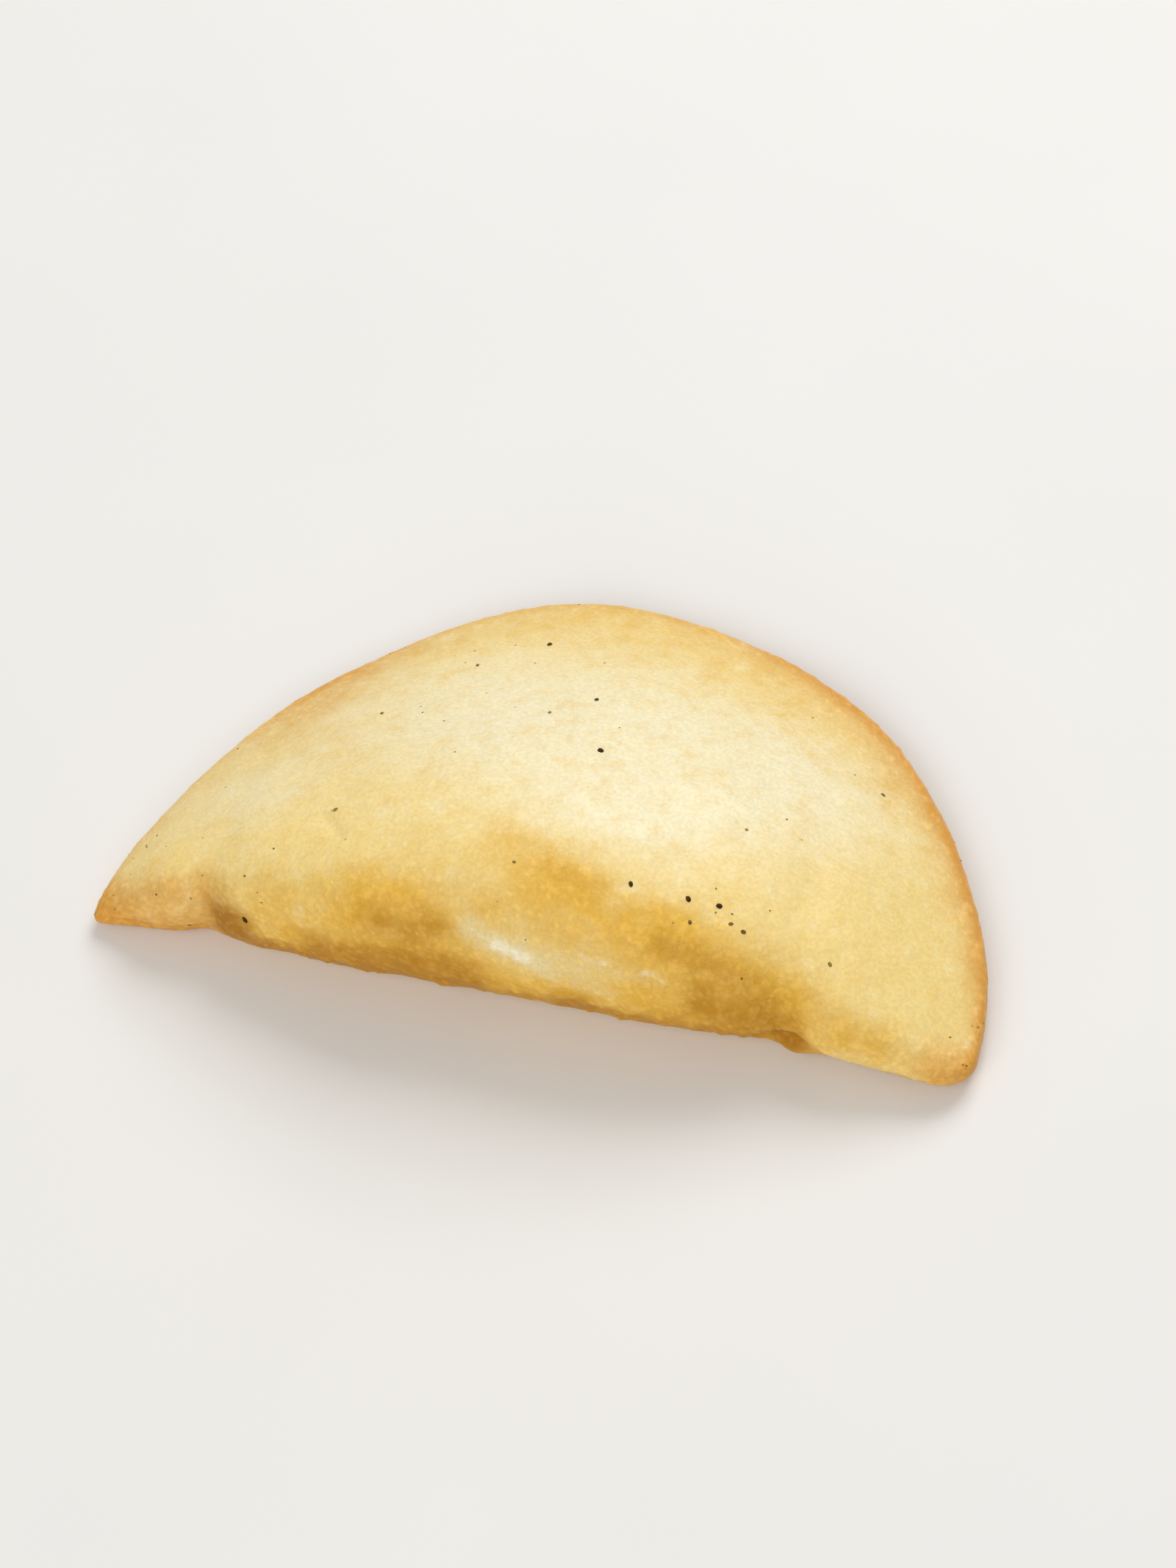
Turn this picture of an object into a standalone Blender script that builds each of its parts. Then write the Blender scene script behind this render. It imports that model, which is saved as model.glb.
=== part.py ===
"""A fried half-moon empanada: a dough disc folded over its filling and sealed.

The pastry lies flat. Its fold is the thick, rounded belly at the front (-Y),
its sealed rim is the thin curved edge at the back (+Y), and the two lines meet
at a flat pinched ear on each side. Origin: bottom centre of the bounding box.
"""
import bmesh
import bpy
import numpy as np

# Driving dimensions, in metres
HALF_LENGTH = 0.0563            # middle of the pastry to an ear's tip
RIM_REACH = 0.0602              # line of the ears back to the sealed rim
BELLY_REACH = 0.0023            # line of the ears forward to the fold
TOP_RISE = 0.0133               # seam plane up to the crest of the top
UNDER_DROP = 0.0092             # seam plane down to the underside, before it lies flat
FOLD_HEIGHT = 0.0112            # seam plane at the middle of the fold
RIM_HEIGHT = 0.0032             # seam plane at the middle of the rim
EAR_HEIGHT = 0.0028             # seam plane at the ears
RIM_THICKNESS = 0.0026          # the two sealed layers of dough
LEFT_EAR_THICKNESS = 0.0050     # pinched dough along the left ear's front edge
RIGHT_EAR_THICKNESS = 0.0032
EDGE_RADIUS = 0.0013            # rounding of the rim's edge
LEFT_TIP_RADIUS = 0.0016        # the left ear ends in a fairly sharp tip
RIGHT_TIP_RADIUS = 0.0045       # the right ear ends in a blunt corner
NOTCH_DEPTH = 0.0016            # how far the fold steps back beside an ear
NOTCH_WIDTH = 0.0030
PINCH_DEPTH = 0.0011            # crease that runs back over the top from a notch
CONTACT_BLEND = 0.0004          # height over which the underside eases into its flat

# Places along the pastry, from 0 at the left ear's tip to 1 at the right one's
LEFT_NOTCH = 0.140
RIGHT_NOTCH = 0.795
LEFT_SHOULDER = 0.19            # length of the belly's rise beside the left notch
RIGHT_SHOULDER = 0.19
RIM_LEVEL_LENGTH = 0.30         # length over which the rim comes down from the ears

# Shape exponents
LEFT_LEAN = 0.36                # the left half of the rim is leaner than an ellipse
LEAN_ONSET = 1.6                # how soon left of the middle that sets in
TIP_ONSET = 2.0                 # how close to a tip the rim turns up to its rounding
WEDGE_POWER = 1.35              # how strongly the filling thins towards the rim
SWELL_POWER = 1.15              # how strongly it thins towards the ears

# Facets
SECTIONS = 90                   # cross-sections from ear to ear
AROUND = 40                     # points round each cross-section
CROWDING = 0.6                  # how much closer the sections lie at the ears

CRUST_COLOR = (0.74, 0.48, 0.18, 1.0)
CRUST_ROUGHNESS = 0.45


def smooth_step(value):
    """Ease from 0 to 1 with level ends."""
    clipped = np.clip(value, 0.0, 1.0)
    return clipped * clipped * (3.0 - 2.0 * clipped)


def bell(value, centre, width):
    """A bump of height 1."""
    return np.exp(-((value - centre) / width) ** 2)


def rounded_edge(distance, radius):
    """Quarter circle: 0 at the edge and 1 from one radius inwards."""
    inside = np.clip(distance / radius, 0.0, 1.0)
    return np.sqrt(1.0 - (1.0 - inside) ** 2)


def rim_line(along):
    """Plan of the sealed rim, from the left ear's tip round the back to the right one's."""
    angle = np.pi * (1.0 - along)
    tip_radius = np.where(along < 0.5, LEFT_TIP_RADIUS, RIGHT_TIP_RADIUS)
    lean = 1.0 + LEFT_LEAN * smooth_step(-LEAN_ONSET * np.cos(angle))
    x = HALF_LENGTH * np.cos(angle)
    tip_rise = tip_radius * (1.0 - smooth_step(TIP_ONSET * np.sin(angle)))
    y = tip_rise + RIM_REACH * np.maximum(np.sin(angle), 0.0) ** lean
    return x, y


def fold_line(along):
    """Plan of the fold: an ear's straight edge, a notch, the belly, a notch and an ear."""
    x = HALF_LENGTH * (2.0 * along - 1.0)
    left_rise = smooth_step((along - LEFT_NOTCH) / LEFT_SHOULDER)
    right_rise = smooth_step((RIGHT_NOTCH - along) / RIGHT_SHOULDER)
    y = -BELLY_REACH * left_rise * right_rise
    for notch in (LEFT_NOTCH, RIGHT_NOTCH):
        y = y + NOTCH_DEPTH * bell(x, HALF_LENGTH * (2.0 * notch - 1.0), NOTCH_WIDTH)
    tip_radius = np.where(along < 0.5, LEFT_TIP_RADIUS, RIGHT_TIP_RADIUS)
    past_corner = np.clip((np.abs(x) - HALF_LENGTH + tip_radius) / tip_radius, 0.0, 1.0)
    y = y + tip_radius * (1.0 - np.sqrt(1.0 - past_corner ** 2))
    return x, y


def wedge_profile(turn):
    """Thickness of the filling over a section: round at the fold, thin at the rim; crest 1."""
    crest = np.sqrt(1.0 - 1.0 / (2.0 + WEDGE_POWER))
    scale = 1.0 / (2.0 * crest * np.sqrt(1.0 - crest ** 2) * crest ** WEDGE_POWER)
    return scale * np.abs(np.sin(turn)) * np.abs(np.sin(turn / 2.0)) ** WEDGE_POWER


def lay_flat(height):
    """Ease the underside onto the level that the pastry lies on, z = 0."""
    eased = (height + CONTACT_BLEND) ** 2 / (4.0 * CONTACT_BLEND)
    return np.where(height >= CONTACT_BLEND, height, np.where(height <= -CONTACT_BLEND, 0.0, eased))


def crust_points():
    """Surface points of all sections: an array of SECTIONS x AROUND x 3."""
    even = np.linspace(0.0, 1.0, SECTIONS)[:, None]
    along = even + CROWDING * (smooth_step(even) - even)
    turn = np.linspace(0.0, 2.0 * np.pi, AROUND, endpoint=False)[None, :]
    rim_x, rim_y = rim_line(along)
    fold_x, fold_y = fold_line(along)
    to_rim = (1.0 + np.cos(turn)) / 2.0
    x = fold_x + (rim_x - fold_x) * to_rim
    y = fold_y + (rim_y - fold_y) * to_rim
    width = np.hypot(rim_x - fold_x, rim_y - fold_y)

    swell = np.maximum(np.sin(np.pi * along), 0.0) ** SWELL_POWER
    level = smooth_step(along / RIM_LEVEL_LENGTH) * smooth_step((1.0 - along) / RIM_LEVEL_LENGTH)
    fold_z = EAR_HEIGHT + (FOLD_HEIGHT - EAR_HEIGHT) * swell
    rim_z = EAR_HEIGHT + (RIM_HEIGHT - EAR_HEIGHT) * level
    seam = fold_z + (rim_z - fold_z) * to_rim

    ear = LEFT_EAR_THICKNESS + (RIGHT_EAR_THICKNESS - LEFT_EAR_THICKNESS) * smooth_step(along)
    dough = (ear + (RIM_THICKNESS - ear) * to_rim) / 2.0
    dough = dough * rounded_edge(width * (1.0 - to_rim), EDGE_RADIUS)
    dough = dough * rounded_edge(width * to_rim, EDGE_RADIUS)
    filling = wedge_profile(turn) * swell
    pinch = np.zeros_like(filling)
    for notch in (LEFT_NOTCH, RIGHT_NOTCH):
        pinch = pinch + PINCH_DEPTH * bell(x, HALF_LENGTH * (2.0 * notch - 1.0), NOTCH_WIDTH)
    pinch = pinch * filling * (1.0 - to_rim)
    top = seam + TOP_RISE * filling + dough - pinch
    under = seam - UNDER_DROP * filling - dough
    z = lay_flat(np.where(turn <= np.pi, top, under))

    points = np.stack([x, y, z], axis=-1)
    low = points.reshape(-1, 3).min(axis=0)
    high = points.reshape(-1, 3).max(axis=0)
    return points - np.array([(low[0] + high[0]) / 2.0, (low[1] + high[1]) / 2.0, low[2]])


def crust_mesh(name):
    """Skin the sections: a fan of triangles at each ear's tip, quads between."""
    points = crust_points()
    mesh = bmesh.new()
    left_tip = mesh.verts.new(points[0, 0])
    right_tip = mesh.verts.new(points[-1, 0])
    rings = [[mesh.verts.new(point) for point in section] for section in points[1:-1]]
    for index in range(AROUND):
        following = (index + 1) % AROUND
        mesh.faces.new((left_tip, rings[0][index], rings[0][following]))
        mesh.faces.new((right_tip, rings[-1][following], rings[-1][index]))
        for ring, next_ring in zip(rings, rings[1:]):
            mesh.faces.new((ring[index], next_ring[index], next_ring[following], ring[following]))
    bmesh.ops.recalc_face_normals(mesh, faces=mesh.faces)
    data = bpy.data.meshes.new(name)
    mesh.to_mesh(data)
    mesh.free()
    data.shade_smooth()
    return data


def crust_material():
    """Golden fried wheat dough with a slight oily gloss."""
    material = bpy.data.materials.new("fried_dough")
    material.use_nodes = True
    shader = material.node_tree.nodes["Principled BSDF"]
    shader.inputs["Base Color"].default_value = CRUST_COLOR
    shader.inputs["Roughness"].default_value = CRUST_ROUGHNESS
    shader.inputs["Metallic"].default_value = 0.0
    return material


def main():
    """Clear the scene and make the pastry."""
    for thing in list(bpy.data.objects):
        bpy.data.objects.remove(thing, do_unlink=True)
    mesh = crust_mesh("crust")
    mesh.materials.append(crust_material())
    crust = bpy.data.objects.new("crust", mesh)
    bpy.context.scene.collection.objects.link(crust)


main()
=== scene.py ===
"""Looks of a fried half-moon empanada: its crust as one fine mesh, and the burnt specks on it.

Shapes are worked out in millimetres and become metres where a mesh is made. The axes are the
CAD model's: +X from the pointed ear to the blunt one, +Y from the fold back to the sealed rim,
+Z up, with the origin at the bottom centre of the pastry.
"""
import math
import random

import bmesh
import bpy
import numpy as np
from mathutils import Euler, Matrix, Vector, noise


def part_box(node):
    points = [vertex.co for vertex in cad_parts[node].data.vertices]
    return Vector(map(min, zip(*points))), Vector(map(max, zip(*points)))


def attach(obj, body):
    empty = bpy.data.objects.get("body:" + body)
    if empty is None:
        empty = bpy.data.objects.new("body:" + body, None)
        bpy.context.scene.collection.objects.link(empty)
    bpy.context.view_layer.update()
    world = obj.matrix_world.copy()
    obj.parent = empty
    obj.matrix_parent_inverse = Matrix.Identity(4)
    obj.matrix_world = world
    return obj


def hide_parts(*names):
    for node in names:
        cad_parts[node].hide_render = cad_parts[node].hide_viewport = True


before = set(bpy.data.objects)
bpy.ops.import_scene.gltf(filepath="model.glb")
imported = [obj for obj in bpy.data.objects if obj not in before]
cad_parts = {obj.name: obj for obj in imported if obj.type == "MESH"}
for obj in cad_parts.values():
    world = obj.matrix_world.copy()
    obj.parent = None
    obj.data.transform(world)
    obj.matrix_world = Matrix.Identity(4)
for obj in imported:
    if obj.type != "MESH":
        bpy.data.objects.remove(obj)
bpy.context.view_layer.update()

MM = 0.001
NODE = "crust"

# ---------------------------------------------------------------- the pastry's own sizes, in mm
HALF_LENGTH = 56.3              # middle of the pastry to an ear's tip
RIM_REACH = 60.2                # line of the ears back to the sealed rim
BELLY_REACH = 2.3               # line of the ears forward to the fold
TOP_RISE = 13.3                 # seam plane up to the crest of the top
UNDER_DROP = 9.2                # seam plane down to the underside, before it lies flat
FOLD_HEIGHT = 11.2              # seam plane at the middle of the fold
RIM_HEIGHT = 3.2                # seam plane at the middle of the rim
EAR_HEIGHT = 2.8                # seam plane at the ears
RIM_THICKNESS = 2.6             # the two sealed layers of dough
LEFT_EAR_THICKNESS = 4.6        # pinched dough along the left ear's front edge
RIGHT_EAR_THICKNESS = 3.0
EDGE_RADIUS = 1.3               # rounding of the rim's edge
FOLD_RADIUS = 4.0               # rounding of the fold's dough
TIP_TAPER = 0.50                # share of its thickness that the left ear loses at its tip
TAPER_LENGTH = 0.12             # over this share of the pastry's length
LEFT_TIP_RADIUS = 1.1           # the left ear ends in a sharp tip
RIGHT_TIP_RADIUS = 4.5          # the right ear ends in a blunt corner
NOTCH_DEPTH = 1.1               # how far the fold steps back beside an ear
NOTCH_WIDTH = 3.0               # along the pastry
PINCH_DEPTH = 0.8               # crease that runs back over the top from a notch
CONTACT_BLEND = 0.4             # height over which the underside eases into its flat

# Places along the pastry, from 0 at the left ear's tip to 1 at the right one's
LEFT_NOTCH = 0.140
RIGHT_NOTCH = 0.795
LEFT_SHOULDER = 0.19            # length of the belly's rise beside the left notch
RIGHT_SHOULDER = 0.19
RIM_LEVEL_LENGTH = 0.30         # length over which the rim comes down from the ears

# Shape exponents
LEFT_LEAN = 0.36                # the left half of the rim is leaner than an ellipse
LEAN_ONSET = 1.6                # how soon left of the middle that sets in
TIP_ONSET = 2.0                 # how close to a tip the rim turns up to its rounding
WEDGE_POWER = 1.35              # how strongly the filling thins towards the rim
SWELL_POWER = 1.15              # how strongly it thins towards the ears

# Unevenness of the rim
RIM_BEND = 0.25                 # how far the rim's outline wavers
RIM_BEND_WIDTH = 6.0            # how far in from the edge that reaches
LEAST_WIDTH = 10.0              # narrower sections than this waver less
RIM_LIFT = 0.35                 # how far the rim's height wavers
RIM_LIFT_WIDTH = 7.0
LIFT_SHIFT = 0.05               # the height wavers this far along from the outline
WAVER_RISE = 2.4                # how soon the wavering grows, going in from an ear
WAVER_REST = 0.8                # how long the rim stays straight before that
RIM_WAVES = (                   # waves from ear to ear, phase, share of the height
    (4.3, 0.15, 1.0),
    (9.7, 0.40, 0.6),
)

# Fine mesh
SECTIONS = 338                  # cross-sections from ear to ear
AROUND = 290                    # points round each cross-section
CROWDING = 0.6                  # how much closer the sections lie at the ears
TURN_STEPS = 4001               # trial points that the even ones are picked from
UNDERSIDE_TURN = 1.08           # half turns after which a section is counted as its underside
UNDERSIDE_DENSITY = 0.40        # points per millimetre there, against those on top
RIM_DENSITY = 1.2               # extra points per millimetre at the rim's edge
RIM_DENSITY_WIDTH = 2.0
TINY = 1e-9                     # keeps a normal of no length from a division by zero


def smooth_step(value):
    """Ease from 0 to 1 with level ends."""
    clipped = np.clip(value, 0.0, 1.0)
    return clipped * clipped * (3.0 - 2.0 * clipped)


def ease(value, start, width):
    """Ease from 0 at a start to 1 one width further on; a negative width goes downwards."""
    return smooth_step((value - start) / width)


def bell(value, centre, width):
    """A bump of height 1."""
    return np.exp(-((value - centre) / width) ** 2)


def rounded_edge(distance, radius):
    """Quarter circle: 0 at the edge and 1 from one radius inwards."""
    inside = np.clip(distance / radius, 0.0, 1.0)
    return np.sqrt(1.0 - (1.0 - inside) ** 2)


# ---------------------------------------------------------------- the pastry's form
def rim_line(along):
    """Plan of the sealed rim, from the left ear's tip round the back to the right one's."""
    angle = np.pi * (1.0 - along)
    tip_radius = np.where(along < 0.5, LEFT_TIP_RADIUS, RIGHT_TIP_RADIUS)
    lean = 1.0 + LEFT_LEAN * smooth_step(-LEAN_ONSET * np.cos(angle))
    x = HALF_LENGTH * np.cos(angle)
    tip_rise = tip_radius * (1.0 - smooth_step(TIP_ONSET * np.sin(angle)))
    y = tip_rise + RIM_REACH * np.maximum(np.sin(angle), 0.0) ** lean
    return x, y


def fold_line(along):
    """Plan of the fold: an ear's straight edge, a notch, the belly, a notch and an ear."""
    x = HALF_LENGTH * (2.0 * along - 1.0)
    left_rise = smooth_step((along - LEFT_NOTCH) / LEFT_SHOULDER)
    right_rise = smooth_step((RIGHT_NOTCH - along) / RIGHT_SHOULDER)
    y = -BELLY_REACH * left_rise * right_rise
    for notch in (LEFT_NOTCH, RIGHT_NOTCH):
        y = y + NOTCH_DEPTH * bell(x, HALF_LENGTH * (2.0 * notch - 1.0), NOTCH_WIDTH)
    tip_radius = np.where(along < 0.5, LEFT_TIP_RADIUS, RIGHT_TIP_RADIUS)
    past_corner = np.clip((np.abs(x) - HALF_LENGTH + tip_radius) / tip_radius, 0.0, 1.0)
    y = y + tip_radius * (1.0 - np.sqrt(1.0 - past_corner ** 2))
    return x, y


def wedge_profile(turn):
    """Thickness of the filling over a section: round at the fold, thin at the rim; crest 1."""
    crest = np.sqrt(1.0 - 1.0 / (2.0 + WEDGE_POWER))
    scale = 1.0 / (2.0 * crest * np.sqrt(1.0 - crest ** 2) * crest ** WEDGE_POWER)
    return scale * np.abs(np.sin(turn)) * np.abs(np.sin(turn / 2.0)) ** WEDGE_POWER


def lay_flat(height):
    """Ease the underside onto the level that the pastry lies on."""
    eased = (height + CONTACT_BLEND) ** 2 / (4.0 * CONTACT_BLEND)
    settled = np.where(height <= -CONTACT_BLEND, 0.0, eased)
    return np.where(height >= CONTACT_BLEND, height, settled)


def rim_waver(along):
    """Small uneven bends of the rim, none at the ears' tips."""
    fade = smooth_step(np.sin(np.pi * along) * WAVER_RISE - WAVER_REST)
    waves = 0.0
    for count, phase, share in RIM_WAVES:
        waves = waves + share * np.sin(2.0 * np.pi * (count * along + phase))
    return fade * waves


def pastry_form(along, turn):
    """Points of the smooth pastry, and for each point its distance from the rim's edge."""
    rim_x, rim_y = rim_line(along)
    fold_x, fold_y = fold_line(along)
    to_rim = (1.0 + np.cos(turn)) / 2.0
    width = np.hypot(rim_x - fold_x, rim_y - fold_y)
    from_rim = width * (1.0 - to_rim)
    bend = RIM_BEND / np.maximum(width, LEAST_WIDTH) * rim_waver(along)
    reach = 1.0 + bend * bell(from_rim, 0.0, RIM_BEND_WIDTH)
    x = fold_x + (rim_x - fold_x) * to_rim * reach
    y = fold_y + (rim_y - fold_y) * to_rim * reach

    swell = np.maximum(np.sin(np.pi * along), 0.0) ** SWELL_POWER
    level = smooth_step(along / RIM_LEVEL_LENGTH)
    level = level * smooth_step((1.0 - along) / RIM_LEVEL_LENGTH)
    fold_z = EAR_HEIGHT + (FOLD_HEIGHT - EAR_HEIGHT) * swell
    rim_z = EAR_HEIGHT + (RIM_HEIGHT - EAR_HEIGHT) * level
    seam = fold_z + (rim_z - fold_z) * to_rim
    lift = RIM_LIFT * rim_waver(along + LIFT_SHIFT)
    seam = seam + lift * bell(from_rim, 0.0, RIM_LIFT_WIDTH)

    taper = TIP_TAPER * (1.0 - smooth_step(along / TAPER_LENGTH))
    seam = seam - 0.5 * LEFT_EAR_THICKNESS * taper
    ear = LEFT_EAR_THICKNESS + (RIGHT_EAR_THICKNESS - LEFT_EAR_THICKNESS) * smooth_step(along)
    ear = ear * (1.0 - taper)
    dough = (ear + (RIM_THICKNESS - ear) * to_rim) / 2.0
    dough = dough * rounded_edge(from_rim, EDGE_RADIUS)
    dough = dough * rounded_edge(width * to_rim, FOLD_RADIUS)
    filling = wedge_profile(turn) * swell
    pinch = np.zeros_like(filling)
    for notch in (LEFT_NOTCH, RIGHT_NOTCH):
        pinch = pinch + PINCH_DEPTH * bell(x, HALF_LENGTH * (2.0 * notch - 1.0), NOTCH_WIDTH)
    pinch = pinch * filling * (1.0 - to_rim)
    top = seam + TOP_RISE * filling + dough - pinch
    under = seam - UNDER_DROP * filling - dough
    z = lay_flat(np.where(turn <= np.pi, top, under))
    return np.stack([x, y, z], axis=-1), from_rim


def even_turns():
    """Turns round a section whose points lie evenly on top, closer at the rim, wider below."""
    fine = np.linspace(0.0, 2.0 * np.pi, TURN_STEPS)
    middle, from_rim = pastry_form(np.array([[0.5]]), fine[None, :])
    steps = np.linalg.norm(np.diff(middle[0], axis=0), axis=1)
    mid_turn = (fine[1:] + fine[:-1]) / 2.0
    density = np.where(mid_turn > UNDERSIDE_TURN * np.pi, UNDERSIDE_DENSITY, 1.0)
    density = density + RIM_DENSITY * bell(from_rim[0, 1:], 0.0, RIM_DENSITY_WIDTH)
    travelled = np.concatenate([[0.0], np.cumsum(steps * density)])
    wanted = np.linspace(0.0, travelled[-1], AROUND, endpoint=False)
    return np.interp(wanted, travelled, fine)


def grid_normals(points):
    """Outward unit normals of a grid that closes round its second axis."""
    across = np.roll(points, -1, axis=1) - np.roll(points, 1, axis=1)
    lengthwise = np.gradient(points, axis=0)
    normals = np.cross(across, lengthwise)
    size = np.linalg.norm(normals, axis=-1, keepdims=True)
    return normals / np.maximum(size, TINY)


def to_cad_box(points):
    """The form centred and scaled into the CAD solid's own box, still in millimetres."""
    low_corner, high_corner = (np.array(corner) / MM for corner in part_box(NODE))
    flat = points.reshape(-1, 3)
    low, high = flat.min(axis=0), flat.max(axis=0)
    return (points - low) / (high - low) * (high_corner - low_corner) + low_corner


# ---------------------------------------------------------------- relief
SEED_STEP = (17.3, 5.1, 9.7)    # shift of the noise from one seed to the next
TRAIL_STEP = 0.5                # share of a stroke's width between two places on its trail


def noise_field(points, size, seed):
    """Smooth noise of about -1 to 1 whose lumps are about the given size across."""
    offset = Vector([step * seed for step in SEED_STEP])
    flat = points.reshape(-1, 3) / size
    values = [noise.noise(Vector(point) + offset) for point in flat]
    return np.array(values).reshape(points.shape[:2])


def near(points, place, length, across):
    """A bump of height 1 round a place, with one size along X and one the other ways."""
    away = points - np.array(place)
    x, y, z = away[..., 0], away[..., 1], away[..., 2]
    return np.exp(-((x / length) ** 2 + (y ** 2 + z ** 2) / across ** 2))


def from_trail(points, start, end, width):
    """Distance of each point from a stroke's trail over the surface between two places."""
    start, end = np.array(start), np.array(end)
    count = 2 + int(np.linalg.norm(end - start) / (TRAIL_STEP * width))
    closest = np.full(points.shape[:2], np.inf)
    for part in np.linspace(0.0, 1.0, count):
        away = np.linalg.norm(points - (start + part * (end - start)), axis=-1)
        landed = points.reshape(-1, 3)[np.argmin(away)]
        closest = np.minimum(closest, np.linalg.norm(points - landed, axis=-1))
    return closest


def strokes(points, trails, uneven):
    """Soft strokes laid over one another: 0 where there is none, 1 at most."""
    clear = np.ones(points.shape[:2])
    for start, end, width, share in trails:
        away = np.maximum(from_trail(points, start, end, width) + uneven, 0.0)
        clear = clear * (1.0 - share * bell(away, 0.0, width))
    return 1.0 - clear


# As far as the materials, places and sizes are in millimetres, and a pair of numbers is the
# start and the width of an ease(), unless a comment calls it a range or a middle and a width.

# Hollows and swellings of the top and front: place, size lengthwise and across, height
SWELLINGS = (
    ((-15.0, -29.0, 17.0), 5.5, 5.0, 0.55),     # left bulge of the belly
    ((-6.5, -29.0, 19.0), 3.0, 5.0, -0.50),     # dip beside it
    ((14.0, -29.0, 17.0), 9.0, 4.0, 0.40),      # main bulge of the belly
    ((3.0, -30.5, 16.0), 5.0, 1.8, -0.30),      # where the browned skin is missing
    ((24.5, -8.5, 19.0), 2.2, 2.0, -0.25),      # dimple in the top
    ((-2.0, -8.0, 23.0), 14.0, 9.0, 0.35),      # lump of filling
    ((22.0, 2.0, 16.5), 11.0, 10.0, 0.25),      # another
    ((10.0, -2.0, 21.0), 4.0, 14.0, -0.20),     # shallow valley between the lumps
    ((-24.0, -12.0, 19.0), 9.0, 8.0, 0.20),     # swelling of the left side
    ((-38.0, -28.0, 7.5), 3.4, 3.6, -0.12),     # hollow at the left notch
    ((34.5, -27.0, 8.0), 2.8, 3.2, -0.25),      # and at the right one
    ((34.2, -27.6, 3.4), 2.6, 1.9, 1.90),       # lip of dough under it
    ((-45.0, -27.5, 8.0), 4.0, 2.5, 0.35),      # roll of the left ear
)

# Thin creases: where each starts and ends, its width and depth
CREASES = (
    ((-26.5, -18.2, 19.8), (-23.3, -21.2, 21.0), 0.70, 0.32),   # nick above the left bulge
    ((-39.0, -27.5, 7.0), (-35.5, -24.5, 13.0), 1.9, 0.12),     # up from the left notch
    ((-39.5, -27.5, 7.0), (-37.5, -20.0, 12.0), 1.5, 0.10),
    ((35.0, -27.5, 6.0), (30.5, -24.0, 15.5), 1.7, 0.28),       # up from the right notch
    ((35.0, -27.5, 6.0), (38.5, -22.0, 13.0), 1.4, 0.20),
    ((30.5, -28.3, 5.6), (37.5, -28.0, 5.0), 0.8, 0.60),        # above the lip
    ((-56.0, -29.5, 2.6), (-41.0, -28.4, 4.0), 0.6, 0.28),      # seams of the ears
    ((38.0, -28.5, 3.8), (53.0, -29.0, 2.8), 0.5, 0.25),
    ((17.5, -29.5, 16.0), (20.5, -29.5, 14.7), 0.4, 0.20),      # edges of the missing skin
    ((-6.0, -29.6, 17.6), (1.0, -30.6, 15.2), 0.5, 0.16),
)

# Lumps all over the crust: size, seed of the noise, height
LUMPS = (
    (13.0, 1, 0.42),
    (5.5, 2, 0.16),
    (2.2, 3, 0.09),
    (1.1, 9, 0.03),
)
RIM_LUMPS = 0.35                # share of all these heights that is left at the thin rim
RIM_LUMPS_EASE = (0.0, 8.0)     # distance from the rim's edge over which they become whole

# Fine wrinkles of the browned dough
WRINKLE_GRID = (0.45, 1.0, 1.0)     # they are longer along X than the other ways
WRINKLE_SIZE = 1.5
WRINKLE_SEED = 8
WRINKLE_HEIGHT = 0.07
RIGHT_WRINKLES = 0.10           # added to the height on the right
RIGHT_WRINKLES_X = (8.0, 10.0)

# Fried bubbles: how many, and the ranges of their radii and heights
BUBBLE_KINDS = (
    (160, (0.55, 0.95), (0.06, 0.12)),
    (3000, (0.30, 0.50), (0.04, 0.10)),
)
BUBBLE_SEED = 41
BUBBLE_MARGIN = 6               # no bubble is centred on this many sections next to a tip
BUBBLE_WINDOW = 10              # sections, and points round them, that one reaches each way
PALE_TOPS = 0.25                # how much the tops show where the dough is not browned
BROWNED_EASE = (0.0, 0.6)       # browning over which they come to show fully

# Low edge of the belly, where bubbles stand out more
LOW_EDGE_SLOPE = (-0.15, 0.35)  # upward part of its normal: middle and width
LOW_EDGE_Y = (-22.0, -5.0)
LOW_EDGE_X = (36.0, -6.0)       # it ends this far from the middle, before the ears
LOW_EDGE_GAIN = 1.2             # share that is added to the bubbles' height there

# Underside: smooth where the pastry lies
LYING_Z = (1.2, -0.8)
LYING_SLOPE = -0.3              # the upward part of the normal is below this

TEAR_ROUGHNESS = 0.08           # height of the crumbs where the skin is missing
TEAR_GRAIN = 0.9                # and their size
TEAR_SEED = 4
TIP_EASE = (0.0, 0.030)         # share of the length at each end that the relief fades over


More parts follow.
